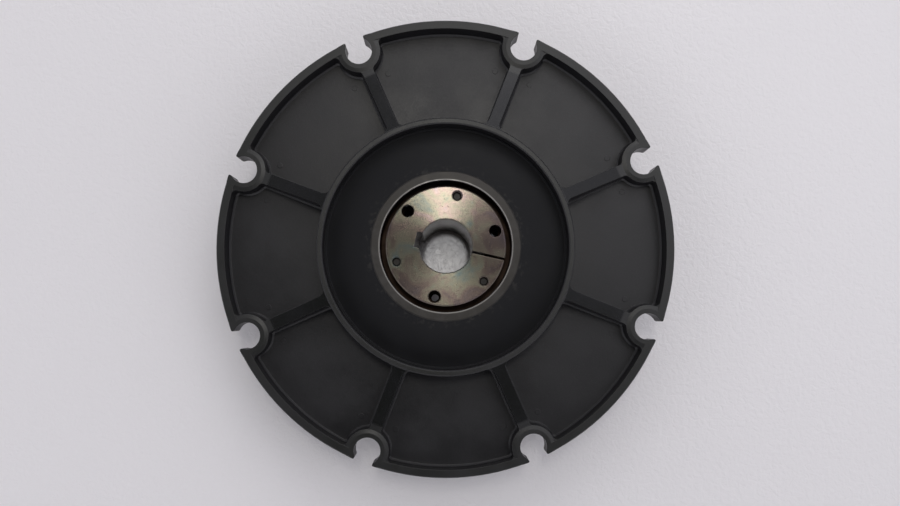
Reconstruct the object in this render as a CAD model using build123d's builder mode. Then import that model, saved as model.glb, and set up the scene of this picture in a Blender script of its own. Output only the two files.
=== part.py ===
"""Flexible flywheel disc coupling.

A moulded plate bolts to an engine flywheel through eight notches in its rim. A rubber
ring bonded inside the plate carries a steel hub, and a split taper bushing in the hub
grips the driven shaft. Cap screws from the rear draw the bushing into its taper.

Millimetres. +Z is the coupling's axis and points towards the flywheel. The origin is on
the axis, in the plane of the bushing's small end, on which the coupling stands.
"""
import os
from math import hypot, radians, tan

from build123d import *

# ---- Split taper bushing ----
bushing_length = 75.0           # length through bore
bore_radius = 20.0
bore_chamfer = 0.8
keyway_width = 12.0
keyway_depth = 3.3
flange_radius = 45.0
flange_thickness = 13.0
flange_chamfer = 0.9
taper_large_radius = 30.0       # barrel, under the flange
taper_rate = 1 / 32             # radius per length, 3/4 inch per foot on the diameter
split_width = 2.0
bushing_clocking = 16.0         # degrees, from +X to the first clear hole
screw_circle_radius = 38.7
screw_count = 3
clear_hole_radius = 4.5
thread_hole_radius = 3.6
hole_chamfer = 0.5

# ---- Hub ----
hub_radius = 56.5
hub_length = 51.5
hub_edge_chamfer = 0.9
hub_rear_chamfer = 1.0
recess_radius = 49.4            # recess for the bushing's flange
recess_chamfer = 0.4
draw_up_gap = 3.0               # left under the flange when the bushing is tight
bushing_stand_out = 1.0         # bushing face above hub top
taper_clearance = 0.02

# ---- Flywheel plate: rim, bosses and notches ----
hub_rise = 15.5                 # hub top above rim top
pilot_radius = 176.2            # rim outside, fits the flywheel's pilot recess
plate_thickness = 16.0          # back face to rim top
pocket_depth = 12.5             # rim top to pocket floor
rim_width = 6.2                 # rim wall at its top
rim_edge_chamfer = 0.7
notch_count = 8
notch_circle_radius = 166.7     # bolt circle 333.4 mm
notch_first_angle = 22.5
notch_radius = 10.3
mouth_width = 14.8              # notch opening at the rim
neck_fillet = 2.2               # where the round notch meets its mouth
tip_fillet = 1.0                # at the mouth's outer corners
boss_wall = 6.3                 # around the notch
boss_bevel_width = 3.0
boss_bevel_height = 0.6
mould_draft = 1.5               # degrees

# ---- Flywheel plate: inner ring, ribs and pockets ----
bond_radius = 93.0              # plate inside, bonded to the rubber
ring_width = 4.6                # inner ring at its top
ring_rise = 12.0                # inner ring top above rim top
ring_edge_chamfer = 0.9
rib_width = 9.6                 # at the pocket floor
rib_drop = 1.8                  # rib top below ring top, at the ring
rib_root_radius = 5.0           # pocket corners beside the inner ring
pocket_corner_radius = 3.0      # pocket corners beside the bosses
pocket_foot_bevel = 1.3

# ---- Rubber element ----
rubber_top_inset = 1.0          # below hub top
rubber_rear_inset = 3.0         # above hub rear
rubber_drop = 12.0              # ring top down to the rubber's outer edge
rubber_crown = 2.8              # bulge of the front face
rubber_rear_land = 6.0          # flat beside the plate, at the rear
rubber_lip_width = 0.8          # left standing against the inner ring
rubber_lip_height = 2.0
rubber_lip_bevel = 0.9
rubber_back_inset = 0.6         # above plate back

# ---- Cap screws and lock washers ----
screw_length = 50.0             # under the head
screw_shank_radius = 3.9
screw_thread_radius = 3.55
screw_thread_length = 22.0
screw_tip_chamfer = 0.8
head_across_flats = 13.0
head_height = 5.3
head_chamfer = 0.6
washer_inner_radius = 4.1
washer_outer_radius = 7.3
washer_thickness = 2.0
washer_gap = 1.6

# ---- Levels along the axis ----
flange_underside = bushing_length - flange_thickness
recess_floor = flange_underside - draw_up_gap
hub_top = bushing_length - bushing_stand_out
hub_rear = hub_top - hub_length
rim_top = hub_top - hub_rise
plate_back = rim_top - plate_thickness
pocket_floor = rim_top - pocket_depth
ring_top = rim_top + ring_rise
rib_foot_top = ring_top - rib_drop
rubber_edge = ring_top - rubber_drop
head_seat = hub_rear - washer_thickness
screw_tip = head_seat + screw_length
thread_start = screw_tip - screw_thread_length

# ---- Radii and angles that follow ----
rim_inner_radius = pilot_radius - rim_width
boss_radius = notch_radius + boss_wall
boss_reach = notch_circle_radius - boss_radius
ring_outer_radius = bond_radius + ring_width
pocket_middle_radius = (ring_outer_radius + boss_reach) / 2
draft_slope = tan(radians(mould_draft))
keyway_angle = bushing_clocking + 150.0
split_angle = keyway_angle + 180.0
tapped_clocking = bushing_clocking + 180.0 / screw_count


def barrel_radius(height):
    """Radius of the bushing's tapered barrel at a height above its small end."""
    return taper_large_radius - (flange_underside - height) * taper_rate


# ---- The eight pockets: the space between rim, bosses, ribs and inner ring ----
with BuildPart() as pockets:
    with BuildSketch(Plane.XY.offset(pocket_floor)) as pocket_outline:
        Circle(rim_inner_radius - pocket_depth * draft_slope)
        Circle(ring_outer_radius + (rib_foot_top - pocket_floor) * draft_slope, mode=Mode.SUBTRACT)
        with PolarLocations(notch_circle_radius, notch_count, notch_first_angle):
            Circle(boss_radius + pocket_depth * draft_slope, mode=Mode.SUBTRACT)
        with PolarLocations(0, notch_count, notch_first_angle):
            Rectangle(
                notch_circle_radius,
                rib_width,
                align=(Align.MIN, Align.CENTER),
                mode=Mode.SUBTRACT,
            )
        corners = pocket_outline.vertices()
        fillet(corners.filter_by(lambda v: hypot(v.X, v.Y) > pocket_middle_radius), pocket_corner_radius)
        corners = pocket_outline.vertices()
        fillet(corners.filter_by(lambda v: hypot(v.X, v.Y) < pocket_middle_radius), rib_root_radius)
    extrude(amount=rib_foot_top - pocket_floor, taper=-mould_draft)
    chamfer(pockets.faces().group_by(Axis.Z)[0].edges(), pocket_foot_bevel)

# ---- Flywheel plate: one glass-filled moulding ----
with BuildPart() as flywheel_plate:
    # revolved blank: rim, sloping band that becomes the rib tops, and inner ring
    bevel_foot = rim_top - boss_bevel_height
    with BuildSketch(Plane.XZ) as blank_section:
        with BuildLine():
            Polyline(
                (bond_radius, plate_back),
                (pilot_radius, plate_back),
                (pilot_radius, rim_top),
                (rim_inner_radius - 0.1, rim_top),
                (rim_inner_radius - 0.1, bevel_foot),
                (boss_reach, bevel_foot),
                (ring_outer_radius, rib_foot_top),
                (ring_outer_radius, ring_top),
                (bond_radius, ring_top),
                close=True,
            )
        make_face()
        rim_corner = blank_section.vertices().group_by(Axis.X)[-1].sort_by(Axis.Y)[-1]
        chamfer(rim_corner, rim_edge_chamfer)
        ring_corners = blank_section.vertices().group_by(Axis.Y)[-1]
        chamfer(ring_corners, ring_edge_chamfer)
    revolve(axis=Axis.Z)

    # bevelled boss tops
    with Locations((0, 0, bevel_foot)):
        with PolarLocations(notch_circle_radius, notch_count, notch_first_angle):
            Cone(
                boss_radius,
                boss_radius - boss_bevel_width,
                boss_bevel_height,
                align=(Align.CENTER, Align.CENTER, Align.MIN),
            )

    # pockets
    add(pockets.part, mode=Mode.SUBTRACT)

    # notches, open at the rim; whatever stands outside the pilot diameter goes too
    with BuildSketch(Plane.XY.offset(plate_back - 1)) as notch_outline:
        Circle(pilot_radius + notch_radius)
        Circle(pilot_radius, mode=Mode.SUBTRACT)
        with PolarLocations(notch_circle_radius, notch_count, notch_first_angle):
            Circle(notch_radius)
            Rectangle(notch_radius, mouth_width, align=(Align.MIN, Align.CENTER))
        corners = notch_outline.vertices()
        necks = corners.filter_by(lambda v: hypot(v.X, v.Y) < pilot_radius - 0.01)
        fillet(necks, neck_fillet)
        corners = notch_outline.vertices()
        tips = corners.filter_by(lambda v: abs(hypot(v.X, v.Y) - pilot_radius) < 0.01)
        fillet(tips, tip_fillet)
    extrude(amount=plate_thickness + 2, mode=Mode.SUBTRACT)
flywheel_plate.part.label = "flywheel_plate"

# ---- Rubber element, bonded to plate and hub ----
with BuildPart() as flex_element:
    with BuildSketch(Plane.XZ) as rubber_section:
        hub_front = (hub_radius, hub_top - rubber_top_inset)
        hub_back = (hub_radius, hub_rear + rubber_rear_inset)
        edge_front = (bond_radius - rubber_lip_width, rubber_edge)
        edge_back = (bond_radius, plate_back + rubber_back_inset)
        lip_top = rubber_edge + rubber_lip_height
        with BuildLine():
            SagittaArc(hub_front, edge_front, -rubber_crown)
            Polyline(edge_front, (edge_front[0], lip_top), (bond_radius, lip_top), edge_back)
            rear_land = (bond_radius - rubber_rear_land, edge_back[1])
            Polyline(edge_back, rear_land, hub_back, hub_front)
        make_face()
        gutter = rubber_section.vertices().sort_by_distance(edge_front)[0]
        chamfer(gutter, rubber_lip_bevel)
    revolve(axis=Axis.Z)
flex_element.part.label = "flex_element"

# ---- Hub: turned steel ----
with BuildPart() as hub:
    with BuildSketch(Plane.XZ) as hub_section:
        with BuildLine():
            Polyline(
                (barrel_radius(hub_rear) + taper_clearance, hub_rear),
                (hub_radius, hub_rear),
                (hub_radius, hub_top),
                (recess_radius, hub_top),
                (recess_radius, recess_floor),
                (barrel_radius(recess_floor) + taper_clearance, recess_floor),
                close=True,
            )
        make_face()
        top_corners = hub_section.vertices().group_by(Axis.Y)[-1].sort_by(Axis.X)
        chamfer(top_corners[-1], hub_edge_chamfer)
        chamfer(top_corners[0], recess_chamfer)
        rear_corners = hub_section.vertices().group_by(Axis.Y)[0]
        chamfer(rear_corners.sort_by(Axis.X)[-1], hub_rear_chamfer)
    revolve(axis=Axis.Z)

    # clear holes behind the bushing's tapped holes, tapped holes behind its clear ones
    with Locations((0, 0, recess_floor)):
        with PolarLocations(screw_circle_radius, screw_count, tapped_clocking):
            Hole(clear_hole_radius)
        with PolarLocations(screw_circle_radius, screw_count, bushing_clocking):
            Hole(thread_hole_radius)
    hole_rims = hub.edges().filter_by(GeomType.CIRCLE).filter_by(
        lambda e: e.radius < hub_radius / 2 and abs(e.center().Z - hub_rear) < 0.01
        and hypot(e.arc_center.X, e.arc_center.Y) > bore_radius)
    chamfer(hole_rims, hole_chamfer)
hub.part.label = "hub"

# ---- Taper bushing: turned steel, split on one side ----
with BuildPart() as taper_bushing:
    with BuildSketch(Plane.XZ) as bushing_section:
        with BuildLine():
            Polyline(
                (bore_radius, 0),
                (barrel_radius(0), 0),
                (taper_large_radius, flange_underside),
                (flange_radius, flange_underside),
                (flange_radius, bushing_length),
                (bore_radius, bushing_length),
                close=True,
            )
        make_face()
        flange_corners = bushing_section.vertices().group_by(Axis.X)[-1]
        chamfer(flange_corners, flange_chamfer)
        bore_corners = bushing_section.vertices().group_by(Axis.X)[0]
        chamfer(bore_corners, bore_chamfer)
        barrel_corner = bushing_section.vertices().group_by(Axis.Y)[0].sort_by(Axis.X)[-1]
        chamfer(barrel_corner, bore_chamfer)
    revolve(axis=Axis.Z)

    # flange holes: clear ones for drawing in, tapped ones for the fitted screws
    with Locations((0, 0, bushing_length)):
        with PolarLocations(screw_circle_radius, screw_count, bushing_clocking):
            Hole(clear_hole_radius, depth=flange_thickness)
        with PolarLocations(screw_circle_radius, screw_count, tapped_clocking):
            Hole(thread_hole_radius, depth=flange_thickness)
    flange_face = taper_bushing.faces().filter_by(Axis.Z).sort_by(Axis.Z)[-1]
    hole_rims = flange_face.edges().filter_by(lambda e: e.radius < bore_radius / 2)
    chamfer(hole_rims, hole_chamfer)

    # keyway and, opposite it, the split
    with BuildSketch() as slots:
        with PolarLocations(0, 1, keyway_angle):
            Rectangle(bore_radius + keyway_depth, keyway_width, align=(Align.MIN, Align.CENTER))
        with PolarLocations(0, 1, split_angle):
            Rectangle(flange_radius + 1, split_width, align=(Align.MIN, Align.CENTER))
    extrude(amount=bushing_length, mode=Mode.SUBTRACT)
taper_bushing.part.label = "taper_bushing"

pieces = [flywheel_plate, flex_element, hub, taper_bushing]

# ---- Cap screws and lock washers, three sets ----
for number in range(screw_count):
    station = Plane.XY.rotated((0, 0, tapped_clocking + number * 360.0 / screw_count))
    centre = station.from_local_coords((screw_circle_radius, 0, 0))

    with BuildPart(Plane(centre, x_dir=station.x_dir, z_dir=(0, 0, 1))) as cap_screw:
        with BuildSketch(Plane(centre, x_dir=station.x_dir, z_dir=(0, 0, 1)).offset(head_seat)):
            RegularPolygon(head_across_flats / 2, 6, major_radius=False)
        extrude(amount=-head_height)
        with BuildSketch(Plane(centre, x_dir=station.x_dir, z_dir=(0, 0, 1)).offset(head_seat)):
            Circle(screw_shank_radius)
        extrude(amount=thread_start - head_seat)
        with BuildSketch(Plane(centre, x_dir=station.x_dir, z_dir=(0, 0, 1)).offset(thread_start)):
            Circle(screw_thread_radius)
        extrude(amount=screw_thread_length)
        chamfer(cap_screw.faces().sort_by(Axis.Z)[-1].edges(), screw_tip_chamfer)
        chamfer(cap_screw.faces().sort_by(Axis.Z)[0].edges(), head_chamfer)
    cap_screw.part.label = f"cap_screw_{number + 1}"

    with BuildPart() as lock_washer:
        with BuildSketch(Plane(centre, x_dir=station.x_dir, z_dir=(0, 0, 1)).offset(head_seat)):
            Circle(washer_outer_radius)
            Circle(washer_inner_radius, mode=Mode.SUBTRACT)
            Rectangle(washer_outer_radius + 1, washer_gap, align=(Align.MIN, Align.CENTER), mode=Mode.SUBTRACT)
        extrude(amount=washer_thickness)
    lock_washer.part.label = f"lock_washer_{number + 1}"

    pieces += [cap_screw, lock_washer]

os.makedirs("parts", exist_ok=True)
for piece in pieces:
    export_step(piece.part, f"parts/{piece.part.label}.step")
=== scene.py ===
"""Dresses a flexible flywheel disc coupling: finishes, threads, screws, washers, floor, lamps and camera."""
from math import cos, pi, radians, sin

import bmesh
import bpy
from bpy.props import FloatProperty, FloatVectorProperty, PointerProperty
from mathutils import Matrix, Vector


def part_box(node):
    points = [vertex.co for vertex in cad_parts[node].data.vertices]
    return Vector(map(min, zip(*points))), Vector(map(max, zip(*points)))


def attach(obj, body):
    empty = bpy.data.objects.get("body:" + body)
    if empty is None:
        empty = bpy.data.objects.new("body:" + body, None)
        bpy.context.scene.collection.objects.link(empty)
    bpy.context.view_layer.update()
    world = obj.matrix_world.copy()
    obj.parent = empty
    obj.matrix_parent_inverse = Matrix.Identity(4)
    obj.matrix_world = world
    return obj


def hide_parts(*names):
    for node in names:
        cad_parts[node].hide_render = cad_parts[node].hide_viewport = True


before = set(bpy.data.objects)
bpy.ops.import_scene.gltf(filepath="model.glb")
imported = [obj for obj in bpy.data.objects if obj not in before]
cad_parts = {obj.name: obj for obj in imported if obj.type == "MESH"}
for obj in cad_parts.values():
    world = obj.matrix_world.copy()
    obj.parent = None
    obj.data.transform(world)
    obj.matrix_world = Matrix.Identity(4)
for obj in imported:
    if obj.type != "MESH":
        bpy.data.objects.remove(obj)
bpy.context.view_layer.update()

bl_info = {
    "name": "Disc Coupling Dresser",
    "version": (1, 0, 0),
    "blender": (4, 5, 0),
    "location": "View3D > Sidebar > Coupling",
    "description": "Finishes, threads and fasteners for a flexible flywheel disc coupling",
    "category": "Object",
}

MM = 0.001

# ---- Places read from the frame, in metres ----
PLATE_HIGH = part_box("flywheel_plate")[1]
HUB_LOW, HUB_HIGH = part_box("hub")
BUSHING_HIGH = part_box("taper_bushing")[1]
RUBBER_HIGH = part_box("flex_element")[1]
SCREW_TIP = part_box("cap_screw_1")[1].z

# ---- Sizes shared with the part's source ----
RING_RISE = 12.0 * MM
POCKET_DEPTH = 12.5 * MM
RING_WIDTH = 4.6 * MM
RECESS_DEPTH = 16.0 * MM
WASHER_THICKNESS = 2.0 * MM
THREAD_LENGTH = 22.0 * MM
RIM_TOP = PLATE_HIGH.z - RING_RISE
POCKET_FLOOR = RIM_TOP - POCKET_DEPTH
RING_OUTSIDE = RUBBER_HIGH.x + RING_WIDTH
RECESS_FLOOR = BUSHING_HIGH.z - RECESS_DEPTH
HEAD_SEAT = HUB_LOW.z - WASHER_THICKNESS
THREAD_START = SCREW_TIP - THREAD_LENGTH
NOTCH_ANGLES = [radians(22.5 + 45.0 * step) for step in range(8)]

# ---- Details of the added pieces ----
MARK_CIRCLE = 146.0 * MM        # ejector marks, from the axis
MARK_TURN = radians(5.7)        # from the nearest rib
MARK_SEGMENTS = 24
RIDGE_HALF = 0.44               # a thread ridge's half width, in pitches
CREST_HALF = 0.08               # its flat crest's half width, in pitches
STEPS_PER_TURN = 24
SCREW_SEGMENTS = 40
WASHER_SEGMENTS = 48
HEAD_BEVEL = 0.6 * MM
THREAD_RUN_OUT = 0.7 * MM
TIP_BEVEL = 0.6 * MM
WASHER_BEVEL = 0.25 * MM
WASHER_GAP = 1.6 * MM
SHARP_EDGE = radians(35.0)

# ---- Shades within the finishes ----
PLATE_BLOTCH = (0.0095, 0.0092, 0.0115)
PLATE_FIBRE = (0.06, 0.06, 0.066)
PLATE_GLOSS = (1.0, 1.0, 1.0)
RIB_GLOSS = (0.40, 0.40, 0.43)
RUBBER_BLOOM = (0.0075, 0.0080, 0.0100)
RUBBER_SCUFF = (0.035, 0.033, 0.030)
HUB_STAIN = (0.066, 0.063, 0.060)
# Painted shade: a darker brown for the hub beneath its top edge, in the recess round the flange.
HUB_SHADE_BROWN = (0.030, 0.020, 0.015)
# Painted highlight and wear: the bright colour of the hub's recess edge.
HUB_WEAR_AND_HIGHLIGHT = (0.22, 0.215, 0.21)
BUSHING_PURPLE = (0.105, 0.080, 0.100)
BUSHING_COPPER = (0.150, 0.105, 0.090)
BUSHING_STRAW = (0.160, 0.150, 0.105)
BUSHING_TEAL = (0.070, 0.112, 0.115)
BUSHING_SPECK = (0.075, 0.06, 0.05)
SCREW_STAIN = (0.045, 0.043, 0.041)
FLOOR_CLOUD = (0.76, 0.745, 0.76)

# ---- Studio ----
BENCH_HALF = 3.0
STRIP_PLACE, STRIP_SIZE, STRIP_COLOUR = (0.0, 0.35, 1.50), (0.16, 0.30), (1.0, 0.97, 0.90)
KEY_PLACE, KEY_SIZE, KEY_COLOUR = (0.30, 1.50, 1.30), (1.2, 0.8), (1.0, 0.99, 0.97)
BEAM_PLACE, BEAM_WIDTH, BEAM_SOFTNESS = (0.0, 0.02, 0.95), radians(2.3), 0.002
CAMERA_OFFSET = (-1.4 * MM, -51.6 * MM, 0.0)
CAMERA_TURN = radians(-1.31)
CAMERA_TILT = (radians(1.0), radians(-0.27))
CAMERA_SHIFT = (0.0029, 0.0550)
SENSOR_WIDTH = 36.0             # millimetres


# ---- Sizes and colours that a user would change ----
class CouplingFinish(bpy.types.PropertyGroup):
    """Colours of the coupling's own materials."""

    plate_colour: FloatVectorProperty(
        name="Plate", description="Glass-filled nylon of the flywheel plate", subtype="COLOR",
        size=3, min=0.0, max=1.0, default=(0.0070, 0.0068, 0.0080))
    plate_worn_colour: FloatVectorProperty(
        name="Plate Lands", description="Rubbed rim and boss tops", subtype="COLOR",
        size=3, min=0.0, max=1.0, default=(0.0070, 0.0075, 0.0066))
    rubber_colour: FloatVectorProperty(
        name="Rubber", description="Flexible element", subtype="COLOR",
        size=3, min=0.0, max=1.0, default=(0.0032, 0.0034, 0.0044))
    hub_colour: FloatVectorProperty(
        name="Hub", description="Blackened steel hub", subtype="COLOR",
        size=3, min=0.0, max=1.0, default=(0.046, 0.044, 0.042))
    bushing_colour: FloatVectorProperty(
        name="Bushing", description="Turned steel bushing", subtype="COLOR",
        size=3, min=0.0, max=1.0, default=(0.118, 0.116, 0.113))
    screw_colour: FloatVectorProperty(
        name="Screws", description="Cap screws and lock washers", subtype="COLOR",
        size=3, min=0.0, max=1.0, default=(0.030, 0.029, 0.028))


class CouplingFasteners(bpy.types.PropertyGroup):
    """Sizes of the screws, washers, threads and ejector marks."""

    screw_circle: FloatProperty(
        name="Screw Circle Radius", description="From the axis to a screw", unit="LENGTH",
        default=38.7 * MM)
    first_angle: FloatProperty(
        name="First Screw", description="Angle of the first screw from X", subtype="ANGLE",
        default=radians(76.0))
    thread_pitch: FloatProperty(
        name="Thread Pitch", description="Rise of the thread in one turn", unit="LENGTH",
        default=1.25 * MM)
    thread_radius: FloatProperty(
        name="Thread Radius", description="Crest radius of the screws' thread", unit="LENGTH",
        default=3.55 * MM)
    thread_depth: FloatProperty(
        name="Thread Depth", description="Crest to root", unit="LENGTH", default=0.5 * MM)
    hole_radius: FloatProperty(
        name="Tapped Hole Radius", description="Wall of a tapped hole", unit="LENGTH",
        default=3.6 * MM)
    shank_radius: FloatProperty(
        name="Shank Radius", description="Plain part of a screw", unit="LENGTH", default=3.9 * MM)
    head_flats: FloatProperty(
        name="Head Across Flats", description="Hexagon head's width", unit="LENGTH",
        default=13.0 * MM)
    head_height: FloatProperty(
        name="Head Height", description="Thickness of a screw's head", unit="LENGTH",
        default=5.3 * MM)
    washer_inner: FloatProperty(
        name="Washer Inner Radius", description="Hole of a lock washer", unit="LENGTH",
        default=4.1 * MM)
    washer_outer: FloatProperty(
        name="Washer Outer Radius", description="Rim of a lock washer", unit="LENGTH",
        default=7.3 * MM)
    mark_radius: FloatProperty(
        name="Ejector Mark Radius", description="Pin marks on the pocket floors", unit="LENGTH",
        default=2.3 * MM)
    mark_height: FloatProperty(
        name="Ejector Mark Height", description="Height of a pin mark's raised edge",
        unit="LENGTH", default=0.2 * MM)


class CouplingStudio(bpy.types.PropertyGroup):
    """Floor, lamps and camera."""

    floor_colour: FloatVectorProperty(
        name="Floor", description="Pale bench top", subtype="COLOR",
        size=3, min=0.0, max=1.0, default=(0.80, 0.785, 0.80))
    strip_power: FloatProperty(
        name="Strip Power", description="Long narrow ceiling lamp that runs away from the viewer",
        default=2.2)
    beam_power: FloatProperty(
        name="Beam Power", description="Narrow beam that shines down the bore", default=6.0)
    key_power: FloatProperty(
        name="Key Power", description="Large lamp on the far side", default=5.0)
    sky_strength: FloatProperty(
        name="Room Light", description="Light from the ceiling and walls", default=0.67)
    room_colour: FloatVectorProperty(
        name="Room Colour", description="Tint of the room's light", subtype="COLOR",
        size=3, min=0.0, max=1.0, default=(0.96, 0.95, 1.0))
    camera_height: FloatProperty(
        name="Camera Height", description="Above the rim's top", unit="LENGTH", default=0.560)
    camera_lens: FloatProperty(
        name="Lens", description="Focal length on a 36 mm sensor, in millimetres", default=29.2)


# ---- Small helpers for pieces ----
def finish_piece(bm, name, material, nodes=()):
    """Turns a bmesh into an object that rides on the coupling and stands for the named CAD nodes."""
    bmesh.ops.remove_doubles(bm, verts=bm.verts, dist=1e-7)
    bmesh.ops.recalc_face_normals(bm, faces=bm.faces)
    mesh = bpy.data.meshes.new(name)
    bm.to_mesh(mesh)
    bm.free()
    mesh.materials.append(material)
    piece = bpy.data.objects.new(name, mesh)
    bpy.context.scene.collection.objects.link(piece)
    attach(piece, "root")
    if nodes:
        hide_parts(*nodes)
    return piece


def smooth_by_angle(bm, limit=SHARP_EDGE):
    """Shades the faces smooth and keeps edges sharper than the limit sharp."""
    for face in bm.faces:
        face.smooth = True
    for edge in bm.edges:
        edge.smooth = len(edge.link_faces) == 2 and edge.calc_face_angle(0.0) < limit


def dress(node, material):
    """Gives a CAD node a material in every slot."""
    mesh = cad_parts[node].data
    if not mesh.materials:
        mesh.materials.append(material)
    for index in range(len(mesh.materials)):
        mesh.materials[index] = material


# ---- Small helpers for materials ----
class Wiring:
    """Short calls for the nodes that the materials and the room's light share."""

    def __init__(self, tree):
        self.tree = tree

    def node(self, kind, **inputs):
        """Adds a node; inputs are given by socket name with _ for a space."""
        made = self.tree.nodes.new(kind)
        for key, value in inputs.items():
            self.feed(made.inputs[key.replace("_", " ")], value)
        return made

    def feed(self, socket, value):
        """Sets a socket to a plain value, or links an output to it."""
        if isinstance(value, bpy.types.NodeSocket):
            self.tree.links.new(value, socket)
        else:
            socket.default_value = value

    def math(self, operation, first, second=0.0, third=0.0, clamp=False):
        made = self.tree.nodes.new("ShaderNodeMath")
        made.operation = operation
        made.use_clamp = clamp
        for socket, value in zip(made.inputs, (first, second, third)):
            self.feed(socket, value)
        return made.outputs[0]

    def span(self, value, low, high, to_low=0.0, to_high=1.0):
        """Maps low..high to to_low..to_high, clamped, with a smooth step."""
        made = self.node("ShaderNodeMapRange", Value=value)
        made.interpolation_type = "SMOOTHSTEP"
        for name, number in (("From Min", low), ("From Max", high), ("To Min", to_low), ("To Max", to_high)):
            made.inputs[name].default_value = number
        return made.outputs[0]


class Recipe(Wiring):
    """A material with its node tree."""

    def __init__(self, name):
        self.material = bpy.data.materials.new(name)
        self.material.use_nodes = True
        super().__init__(self.material.node_tree)
        self.shader = self.tree.nodes["Principled BSDF"]
        self.place = self.tree.nodes.new("ShaderNodeTexCoord").outputs["Object"]

    def noise(self, scale, detail=4.0, roughness=0.55, place=None, distortion=0.0):
        made = self.node("ShaderNodeTexNoise", Vector=place or self.place, Scale=scale, Detail=detail,
                         Roughness=roughness, Distortion=distortion)
        return made.outputs["Fac"]

    def scaled(self, x, y, z, place=None):
        made = self.node("ShaderNodeMapping", Vector=place or self.place, Scale=(x, y, z))
        return made.outputs[0]

    def ramp(self, value, *stops):
        """Maps a value to grey or colour stops, each (position, grey or colour)."""
        made = self.node("ShaderNodeValToRGB", Fac=value)
        band = made.color_ramp
        while len(band.elements) < len(stops):
            band.elements.new(0.5)
        for element, (position, shade) in zip(band.elements, stops):
            element.position = position
            colour = (shade, shade, shade) if isinstance(shade, float) else tuple(shade)
            element.color = (*colour, 1.0)
        return made.outputs["Color"]

    def mix(self, amount, first, second):
        """Blends two colours, each plain or an output."""
        made = self.tree.nodes.new("ShaderNodeMix")
        made.data_type = "RGBA"
        self.feed(made.inputs["Factor"], amount)
        for socket, value in zip((made.inputs[6], made.inputs[7]), (first, second)):
            self.feed(socket, value if isinstance(value, bpy.types.NodeSocket) else (*value, 1.0))
        return made.outputs[2]

    def bump(self, height, strength, distance, normal=None):
        made = self.node("ShaderNodeBump", Height=height, Strength=strength, Distance=distance)
        if normal is not None:
            self.feed(made.inputs["Normal"], normal)
        return made.outputs[0]

    def rounded(self, radius, samples=6):
        """Normal that looks as if edges were broken by this radius."""
        made = self.node("ShaderNodeBevel", Radius=radius)
        made.samples = samples
        return made.outputs[0]

    def parts(self, place=None):
        made = self.node("ShaderNodeSeparateXYZ", Vector=place or self.place)
        return made.outputs["X"], made.outputs["Y"], made.outputs["Z"]

    def radius(self):
        """Distance from the coupling's axis."""
        x, y, _ = self.parts()
        return self.math("SQRT", self.math("ADD", self.math("MULTIPLY", x, x), self.math("MULTIPLY", y, y)))

    def level_faces(self):
        """1 on faces that look straight up, 0 on walls."""
        normal = self.tree.nodes.new("ShaderNodeNewGeometry").outputs["True Normal"]
        _, _, up = self.parts(normal)
        return self.span(up, 0.93, 0.99)

    def set(self, **inputs):
        for key, value in inputs.items():
            self.feed(self.shader.inputs[key.replace("_", " ")], value)


def plate_material(finish):
    """Glass-filled nylon: satin, with blotches, fine speckle and rubbed lands."""
    r = Recipe("plate_nylon")
    _, _, height = r.parts()
    land = r.math("MULTIPLY", r.span(height, RIM_TOP - 0.9 * MM, RIM_TOP - 0.4 * MM), r.level_faces())
    blotch = r.noise(28.0, detail=5.0)
    fibre = r.noise(900.0, detail=3.0, roughness=0.7)
    speck = r.span(r.noise(2600.0, detail=1.0), 0.62, 0.72)
    colour = r.mix(land, tuple(finish.plate_colour), tuple(finish.plate_worn_colour))
    colour = r.mix(r.span(blotch, 0.35, 0.7, 0.0, 0.35), colour, PLATE_BLOTCH)
    colour = r.mix(r.math("MULTIPLY", speck, 0.30), colour, PLATE_FIBRE)
    rib = r.math("MULTIPLY", r.span(height, RIM_TOP + 0.1 * MM, RIM_TOP + 0.6 * MM),
                 r.math("MULTIPLY", r.span(r.radius(), RING_OUTSIDE + 0.1 * MM, RING_OUTSIDE + 0.8 * MM),
                        r.level_faces()))
    rough = r.math("SUBTRACT", r.span(blotch, 0.3, 0.7, 0.36, 0.46), r.math("MULTIPLY", rib, 0.20))
    rough = r.math("ADD", rough, r.math("MULTIPLY", r.math("SUBTRACT", fibre, 0.5), 0.2))
    normal = r.bump(fibre, 0.35, 0.12 * MM, r.rounded(0.45 * MM))
    normal = r.bump(blotch, 0.25, 0.8 * MM, normal)
    gloss = r.mix(rib, PLATE_GLOSS, RIB_GLOSS)
    r.set(Base_Color=colour, Roughness=rough, Specular_Tint=gloss, Normal=normal)
    return r.material


def rubber_material(finish):
    """Moulded rubber: bluish black and matt, with a faint bloom and scuffs near the hub."""
    r = Recipe("bonded_rubber")
    grain = r.noise(1500.0, detail=3.0, roughness=0.7)
    bloom = r.noise(34.0, detail=6.0, roughness=0.6)
    out = r.radius()
    near_hub = r.span(out, 57.0 * MM, 66.0 * MM, 1.0, 0.0)
    scuff = r.math("MULTIPLY", near_hub, r.span(r.noise(260.0, detail=6.0), 0.52, 0.66))
    colour = r.mix(r.span(bloom, 0.4, 0.75, 0.0, 0.5), tuple(finish.rubber_colour), RUBBER_BLOOM)
    colour = r.mix(r.math("MULTIPLY", scuff, 0.5), colour, RUBBER_SCUFF)
    rough = r.span(bloom, 0.3, 0.7, 0.52, 0.64)
    r.set(Base_Color=colour, Roughness=rough, Specular_IOR_Level=0.25,
          Normal=r.bump(grain, 0.3, 0.1 * MM, r.rounded(0.4 * MM)))
    return r.material


def turned_grooves(r, spacing):
    """Height of turning marks: rings of uneven depth round the axis."""
    out = r.radius()
    ring = r.node("ShaderNodeCombineXYZ", X=r.math("DIVIDE", out, spacing)).outputs[0]
    return r.noise(1.0, detail=3.0, roughness=0.65, place=ring)


def across_grooves(r):
    """Direction from the axis outwards, across the turning marks, in which the gloss spreads."""
    flat = r.scaled(1.0, 1.0, 0.0)
    unit = r.tree.nodes.new("ShaderNodeVectorMath")
    unit.operation = "NORMALIZE"
    r.feed(unit.inputs[0], flat)
    return unit.outputs[0]


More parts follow.
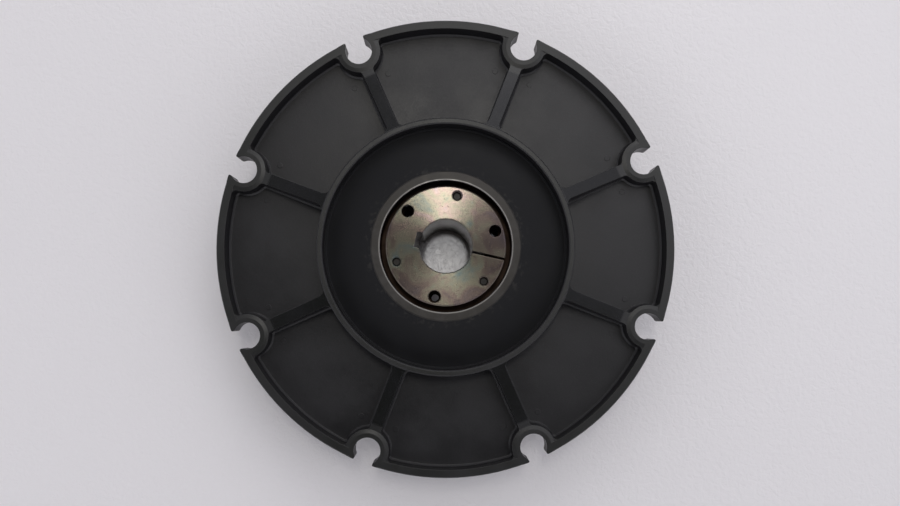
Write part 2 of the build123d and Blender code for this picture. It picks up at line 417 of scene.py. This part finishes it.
def hub_material(finish):
    """Blackened turned steel. Painted shade: it turns a darker brown beneath its top edge, in the recess
    round the bushing's flange. The recess's edge is painted bright, partly as wear where the flange rubs,
    partly as a painted highlight.
    """
    r = Recipe("hub_steel")
    out = r.radius()
    _, _, height = r.parts()
    at_top = r.span(height, HUB_HIGH.z - 1.2 * MM, HUB_HIGH.z - 0.5 * MM)
    # Painted highlight and wear: the top of the recess's edge is painted bright, partly as wear where the
    # flange rubs, partly as a painted highlight.
    edge = r.math("MULTIPLY", r.span(out, 50.9 * MM, 49.8 * MM), at_top)
    stain = r.noise(120.0, detail=6.0, roughness=0.6)
    # Painted shade: the hub turns a darker brown beneath its top edge, down in the recess.
    shade_beneath_top = r.span(height, HUB_HIGH.z - 0.6 * MM, HUB_HIGH.z - 3.0 * MM)
    colour = r.mix(r.span(stain, 0.35, 0.7), tuple(finish.hub_colour), HUB_STAIN)
    colour = r.mix(shade_beneath_top, colour, HUB_SHADE_BROWN)
    colour = r.mix(edge, colour, HUB_WEAR_AND_HIGHLIGHT)
    rough = r.math("ADD", r.span(stain, 0.3, 0.7, 0.38, 0.55), r.math("MULTIPLY", edge, -0.12))
    normal = r.bump(turned_grooves(r, 0.25 * MM), 0.35, 0.05 * MM, r.rounded(0.4 * MM))
    r.set(Base_Color=colour, Metallic=1.0, Roughness=rough, Anisotropic=0.5,
          Tangent=across_grooves(r), Normal=normal)
    return r.material


def bushing_material(finish):
    """Fine-turned steel with a thin oil film that shows straw, purple and teal tints."""
    r = Recipe("bushing_steel")
    grooves = turned_grooves(r, 0.18 * MM)
    film = r.noise(46.0, detail=4.0, roughness=0.6, distortion=0.8)
    tint = r.ramp(film, (0.30, BUSHING_PURPLE), (0.44, BUSHING_COPPER), (0.56, BUSHING_STRAW),
                  (0.70, BUSHING_TEAL))
    colour = r.mix(0.65, tuple(finish.bushing_colour), tint)
    speck = r.span(r.noise(900.0, detail=2.0), 0.66, 0.74)
    colour = r.mix(r.math("MULTIPLY", speck, 0.5), colour, BUSHING_SPECK)
    rough = r.math("ADD", r.span(film, 0.3, 0.7, 0.17, 0.23), r.math("MULTIPLY", speck, 0.2))
    normal = r.bump(grooves, 0.4, 0.03 * MM, r.rounded(0.35 * MM))
    r.set(Base_Color=colour, Metallic=1.0, Roughness=rough, Anisotropic=0.85,
          Tangent=across_grooves(r), Normal=normal)
    return r.material


def screw_material(finish):
    """Plain steel with an oily grey skin."""
    r = Recipe("screw_steel")
    stain = r.noise(700.0, detail=4.0)
    colour = r.mix(r.span(stain, 0.35, 0.7), tuple(finish.screw_colour), SCREW_STAIN)
    r.set(Base_Color=colour, Metallic=1.0, Roughness=r.span(stain, 0.3, 0.7, 0.32, 0.5),
          Normal=r.bump(stain, 0.2, 0.04 * MM))
    return r.material


def floor_material(studio):
    """Pale, slightly glossy bench top."""
    r = Recipe("bench_top")
    cloud = r.noise(3.0, detail=3.0)
    colour = r.mix(r.span(cloud, 0.35, 0.7, 0.0, 0.25), tuple(studio.floor_colour), FLOOR_CLOUD)
    peel = r.noise(230.0, detail=3.0, roughness=0.6, distortion=0.6)
    r.set(Base_Color=colour, Roughness=0.30, Normal=r.bump(peel, 0.5, 1.2 * MM))
    return r.material


# ---- Operators ----
class COUPLING_OT_plate(bpy.types.Operator):
    """Dress the flywheel plate and raise its ejector pin marks"""
    bl_idname = "coupling.plate"
    bl_label = "Flywheel Plate"

    def execute(self, context):
        finish = context.scene.coupling_finish
        sizes = context.scene.coupling_fasteners
        nylon = plate_material(finish)
        dress("flywheel_plate", nylon)
        bm = bmesh.new()
        for rib in NOTCH_ANGLES:
            for side in (-1, 1):
                turn = rib + side * MARK_TURN
                at = Vector((MARK_CIRCLE * cos(turn), MARK_CIRCLE * sin(turn), POCKET_FLOOR))
                bmesh.ops.create_cone(
                    bm, cap_ends=True, segments=MARK_SEGMENTS, radius1=sizes.mark_radius,
                    radius2=sizes.mark_radius - sizes.mark_height, depth=2 * sizes.mark_height,
                    matrix=Matrix.Translation(at))
        smooth_by_angle(bm)
        finish_piece(bm, "ejector_marks", nylon)
        return {"FINISHED"}


class COUPLING_OT_rubber(bpy.types.Operator):
    """Dress the bonded rubber element"""
    bl_idname = "coupling.rubber"
    bl_label = "Rubber Element"

    def execute(self, context):
        dress("flex_element", rubber_material(context.scene.coupling_finish))
        return {"FINISHED"}


class COUPLING_OT_hub(bpy.types.Operator):
    """Dress the steel hub"""
    bl_idname = "coupling.hub"
    bl_label = "Hub"

    def execute(self, context):
        dress("hub", hub_material(context.scene.coupling_finish))
        return {"FINISHED"}


class COUPLING_OT_bushing(bpy.types.Operator):
    """Dress the split taper bushing"""
    bl_idname = "coupling.bushing"
    bl_label = "Taper Bushing"

    def execute(self, context):
        dress("taper_bushing", bushing_material(context.scene.coupling_finish))
        return {"FINISHED"}


def sweep_profile(bm, corners, turn, steps, rise=0.0):
    """Sweeps a closed profile of (radius, height) corners round Z, with a rise over the whole turn."""
    face = bm.faces.new([bm.verts.new((radius, 0.0, height)) for radius, height in corners])
    bmesh.ops.spin(
        bm, geom=[face, *face.edges, *face.verts], cent=(0.0, 0.0, 0.0), axis=(0.0, 0.0, 1.0),
        dvec=(0.0, 0.0, rise / steps), angle=turn, steps=steps, use_merge=False)


def thread_ridge(bm, sizes, low, high, outward, root):
    """One helical ridge between two heights: outward on a screw, inward in a tapped hole."""
    pitch, depth = sizes.thread_pitch, sizes.thread_depth
    crest = root + depth if outward else root - depth
    buried = root - 0.06 * MM if outward else root + 0.03 * MM
    half = RIDGE_HALF * pitch
    turns = (high - low - 2 * half) / pitch
    corners = ((buried, low), (crest, low + half - CREST_HALF * pitch),
               (crest, low + half + CREST_HALF * pitch), (buried, low + 2 * half))
    sweep_profile(bm, corners, turns * 2 * pi, int(turns * STEPS_PER_TURN), turns * pitch)


class COUPLING_OT_fasteners(bpy.types.Operator):
    """Make the cap screws with their threads, the lock washers and the tapped holes' threads"""
    bl_idname = "coupling.fasteners"
    bl_label = "Cap Screws"

    def execute(self, context):
        sizes = context.scene.coupling_fasteners
        finish = context.scene.coupling_finish
        steel = screw_material(finish)
        bushing_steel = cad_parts["taper_bushing"].data.materials[0]
        hub_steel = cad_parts["hub"].data.materials[0]
        for number in range(3):
            angle = sizes.first_angle + number * radians(120.0)
            station = Matrix.Rotation(angle, 4, "Z") @ Matrix.Translation((sizes.screw_circle, 0.0, 0.0))
            self.screw(sizes, station, steel, number + 1)
            self.washer(sizes, station, steel, number + 1)
            self.tapped(sizes, station, SCREW_TIP + 0.3 * MM, BUSHING_HIGH.z - 0.7 * MM,
                        f"bushing_thread_{number + 1}", bushing_steel, "bushing_steel")
            beside = Matrix.Rotation(radians(60.0), 4, "Z") @ station
            self.tapped(sizes, beside, HUB_LOW.z + 0.8 * MM, RECESS_FLOOR - 0.3 * MM,
                        f"hub_thread_{number + 1}", hub_steel, "hub_steel")
        return {"FINISHED"}

    @staticmethod
    def screw(sizes, station, steel, number):
        bm = bmesh.new()
        bmesh.ops.create_cone(
            bm, cap_ends=True, segments=6, radius1=sizes.head_flats / 2 / cos(pi / 6),
            radius2=sizes.head_flats / 2 / cos(pi / 6), depth=sizes.head_height,
            matrix=Matrix.Translation((0.0, 0.0, HEAD_SEAT - sizes.head_height / 2)))
        outer = HEAD_SEAT - sizes.head_height
        rim = [edge for edge in bm.edges if all(abs(end.co.z - outer) < 1e-6 for end in edge.verts)]
        bmesh.ops.bevel(bm, geom=rim, offset=HEAD_BEVEL, offset_type="OFFSET", affect="EDGES",
                        segments=2, profile=0.5, material=-1)
        root = sizes.thread_radius - sizes.thread_depth
        profile = ((0.0, HEAD_SEAT - 0.3 * MM), (sizes.shank_radius, HEAD_SEAT - 0.3 * MM),
                   (sizes.shank_radius, THREAD_START), (root, THREAD_START + THREAD_RUN_OUT),
                   (root, SCREW_TIP - THREAD_RUN_OUT), (root - TIP_BEVEL, SCREW_TIP), (0.0, SCREW_TIP))
        line = [bm.verts.new((radius, 0.0, height)) for radius, height in profile]
        edges = [bm.edges.new(pair) for pair in zip(line, line[1:])]
        bmesh.ops.spin(bm, geom=[*line, *edges], cent=(0.0, 0.0, 0.0), axis=(0.0, 0.0, 1.0),
                       angle=2 * pi, steps=SCREW_SEGMENTS, use_merge=True)
        thread_ridge(bm, sizes, THREAD_START + 0.5 * MM, SCREW_TIP - 0.3 * MM, True, root)
        bmesh.ops.transform(bm, matrix=station, verts=bm.verts)
        smooth_by_angle(bm)
        finish_piece(bm, f"screw_{number}", steel, (f"cap_screw_{number}",))

    @staticmethod
    def washer(sizes, station, steel, number):
        bm = bmesh.new()
        inner, outer = sizes.washer_inner, sizes.washer_outer
        low, high, edge = HEAD_SEAT, HUB_LOW.z, WASHER_BEVEL
        corners = ((inner, low + edge), (inner + edge, low), (outer - edge, low), (outer, low + edge),
                   (outer, high - edge), (outer - edge, high), (inner + edge, high), (inner, high - edge))
        gap = WASHER_GAP / ((inner + outer) / 2)
        sweep_profile(bm, corners, 2 * pi - gap, WASHER_SEGMENTS)
        bmesh.ops.transform(bm, matrix=station @ Matrix.Rotation(gap / 2, 4, "Z"), verts=bm.verts)
        smooth_by_angle(bm)
        finish_piece(bm, f"washer_{number}", steel, (f"lock_washer_{number}",))

    @staticmethod
    def tapped(sizes, station, low, high, name, steel, material_slot):
        bm = bmesh.new()
        thread_ridge(bm, sizes, low, high, False, sizes.hole_radius)
        bmesh.ops.transform(bm, matrix=station, verts=bm.verts)
        smooth_by_angle(bm)
        finish_piece(bm, name, steel)


class COUPLING_OT_stage(bpy.types.Operator):
    """Lay the floor, hang the lamps and place the camera"""
    bl_idname = "coupling.stage"
    bl_label = "Studio"

    def execute(self, context):
        studio = context.scene.coupling_studio
        self.bench(context, studio)
        self.lamp(context, "strip", STRIP_PLACE, STRIP_SIZE, studio.strip_power, STRIP_COLOUR)
        self.lamp(context, "key", KEY_PLACE, KEY_SIZE, studio.key_power, KEY_COLOUR)
        self.beam(context, studio)
        self.room(context, studio)
        self.camera(context, studio)
        context.scene.view_settings.view_transform = "Standard"
        return {"FINISHED"}

    @staticmethod
    def bench(context, studio):
        bm = bmesh.new()
        bmesh.ops.create_grid(bm, x_segments=1, y_segments=1, size=BENCH_HALF)
        mesh = bpy.data.meshes.new("bench")
        bm.to_mesh(mesh)
        bm.free()
        mesh.materials.append(floor_material(studio))
        bench = bpy.data.objects.new("bench", mesh)
        context.scene.collection.objects.link(bench)

    @staticmethod
    def lamp(context, name, place, size, power, colour):
        """Hangs a rectangular lamp that faces the coupling."""
        light = bpy.data.lights.new(name, "AREA")
        light.shape = "RECTANGLE"
        light.size, light.size_y = size
        light.energy = power
        light.color = colour
        lamp = bpy.data.objects.new(name, light)
        lamp.location = place
        lamp.rotation_euler = (-Vector(place)).to_track_quat("-Z", "Y").to_euler()
        context.scene.collection.objects.link(lamp)

    @staticmethod
    def beam(context, studio):
        """Hangs a narrow beam over the bore, so that the bench shows through it."""
        light = bpy.data.lights.new("bore_beam", "SPOT")
        light.energy = studio.beam_power
        light.spot_size = BEAM_WIDTH
        light.spot_blend = 0.3
        light.shadow_soft_size = BEAM_SOFTNESS
        lamp = bpy.data.objects.new("bore_beam", light)
        lamp.location = BEAM_PLACE
        aim = Vector((0.0, 0.0, BUSHING_HIGH.z)) - Vector(BEAM_PLACE)
        lamp.rotation_euler = aim.to_track_quat("-Z", "Y").to_euler()
        context.scene.collection.objects.link(lamp)

    @staticmethod
    def room(context, studio):
        """Room light: a ceiling brighter to the right, dim overhead and on the near side."""
        world = bpy.data.worlds.new("room")
        context.scene.world = world
        world.use_nodes = True
        sky = world.node_tree.nodes["Background"]
        sky.inputs["Color"].default_value = (*studio.room_colour, 1.0)
        w = Wiring(world.node_tree)
        way = w.node("ShaderNodeTexCoord").outputs["Generated"]
        across, along, up = w.node("ShaderNodeSeparateXYZ", Vector=way).outputs
        from_overhead = w.tree.nodes.new("ShaderNodeVectorMath")
        from_overhead.operation = "DISTANCE"
        w.feed(from_overhead.inputs[0], way)
        w.feed(from_overhead.inputs[1], (0.0, 0.0, 1.0))

        to_right = w.span(across, -0.40, 0.40, 0.32, 2.40)
        far_side = w.span(along, -0.25, 0.10, 0.08, 1.0)
        overhead = w.span(from_overhead.outputs["Value"], 0.22, 0.29, 0.04, 1.0)
        ceiling = w.math("MULTIPLY", w.math("MULTIPLY", to_right, far_side), overhead)
        ceiling = w.math("MULTIPLY", ceiling, w.span(up, 0.60, 0.86, 0.0, 1.0))
        walls = w.math("MULTIPLY", w.span(up, 0.60, 0.86, 1.5, 0.0), w.span(along, -1.0, 1.0, 1.0, 0.9))
        light = w.math("ADD", ceiling, walls)
        w.feed(sky.inputs["Strength"], w.math("MULTIPLY", light, studio.sky_strength))

    @staticmethod
    def camera(context, studio):
        camera = bpy.data.cameras.new("camera")
        camera.lens = studio.camera_lens
        camera.sensor_width = SENSOR_WIDTH
        camera.shift_x, camera.shift_y = CAMERA_SHIFT
        camera.clip_start = 0.01
        stand = bpy.data.objects.new("camera", camera)
        over = Matrix.Rotation(CAMERA_TURN, 3, "Z") @ Vector(CAMERA_OFFSET)
        stand.location = over + Vector((0.0, 0.0, RIM_TOP + studio.camera_height))
        stand.rotation_euler = (*CAMERA_TILT, CAMERA_TURN)
        context.scene.collection.objects.link(stand)
        context.scene.camera = stand


class COUPLING_PT_sidebar(bpy.types.Panel):
    """Lists the coupling's pieces and their sizes and colours"""
    bl_label = "Disc Coupling"
    bl_idname = "COUPLING_PT_sidebar"
    bl_space_type = "VIEW_3D"
    bl_region_type = "UI"
    bl_category = "Coupling"

    def draw(self, context):
        for group in ("coupling_finish", "coupling_fasteners", "coupling_studio"):
            settings = getattr(context.scene, group)
            box = self.layout.box()
            for name in settings.__annotations__:
                box.prop(settings, name)
        for operator in OPERATORS:
            self.layout.operator(operator.bl_idname)


GROUPS = {
    "coupling_finish": CouplingFinish,
    "coupling_fasteners": CouplingFasteners,
    "coupling_studio": CouplingStudio,
}
OPERATORS = (
    COUPLING_OT_plate,
    COUPLING_OT_rubber,
    COUPLING_OT_hub,
    COUPLING_OT_bushing,
    COUPLING_OT_fasteners,
    COUPLING_OT_stage,
)


def register():
    for cls in (*GROUPS.values(), *OPERATORS, COUPLING_PT_sidebar):
        bpy.utils.register_class(cls)
    for name, cls in GROUPS.items():
        setattr(bpy.types.Scene, name, PointerProperty(type=cls))


def unregister():
    for name in GROUPS:
        delattr(bpy.types.Scene, name)
    for cls in reversed((*GROUPS.values(), *OPERATORS, COUPLING_PT_sidebar)):
        bpy.utils.unregister_class(cls)


def main():
    """Builds everything in order."""
    register()
    bpy.ops.coupling.plate()
    bpy.ops.coupling.rubber()
    bpy.ops.coupling.hub()
    bpy.ops.coupling.bushing()
    bpy.ops.coupling.fasteners()
    bpy.ops.coupling.stage()


if __name__ == "__main__":
    main()
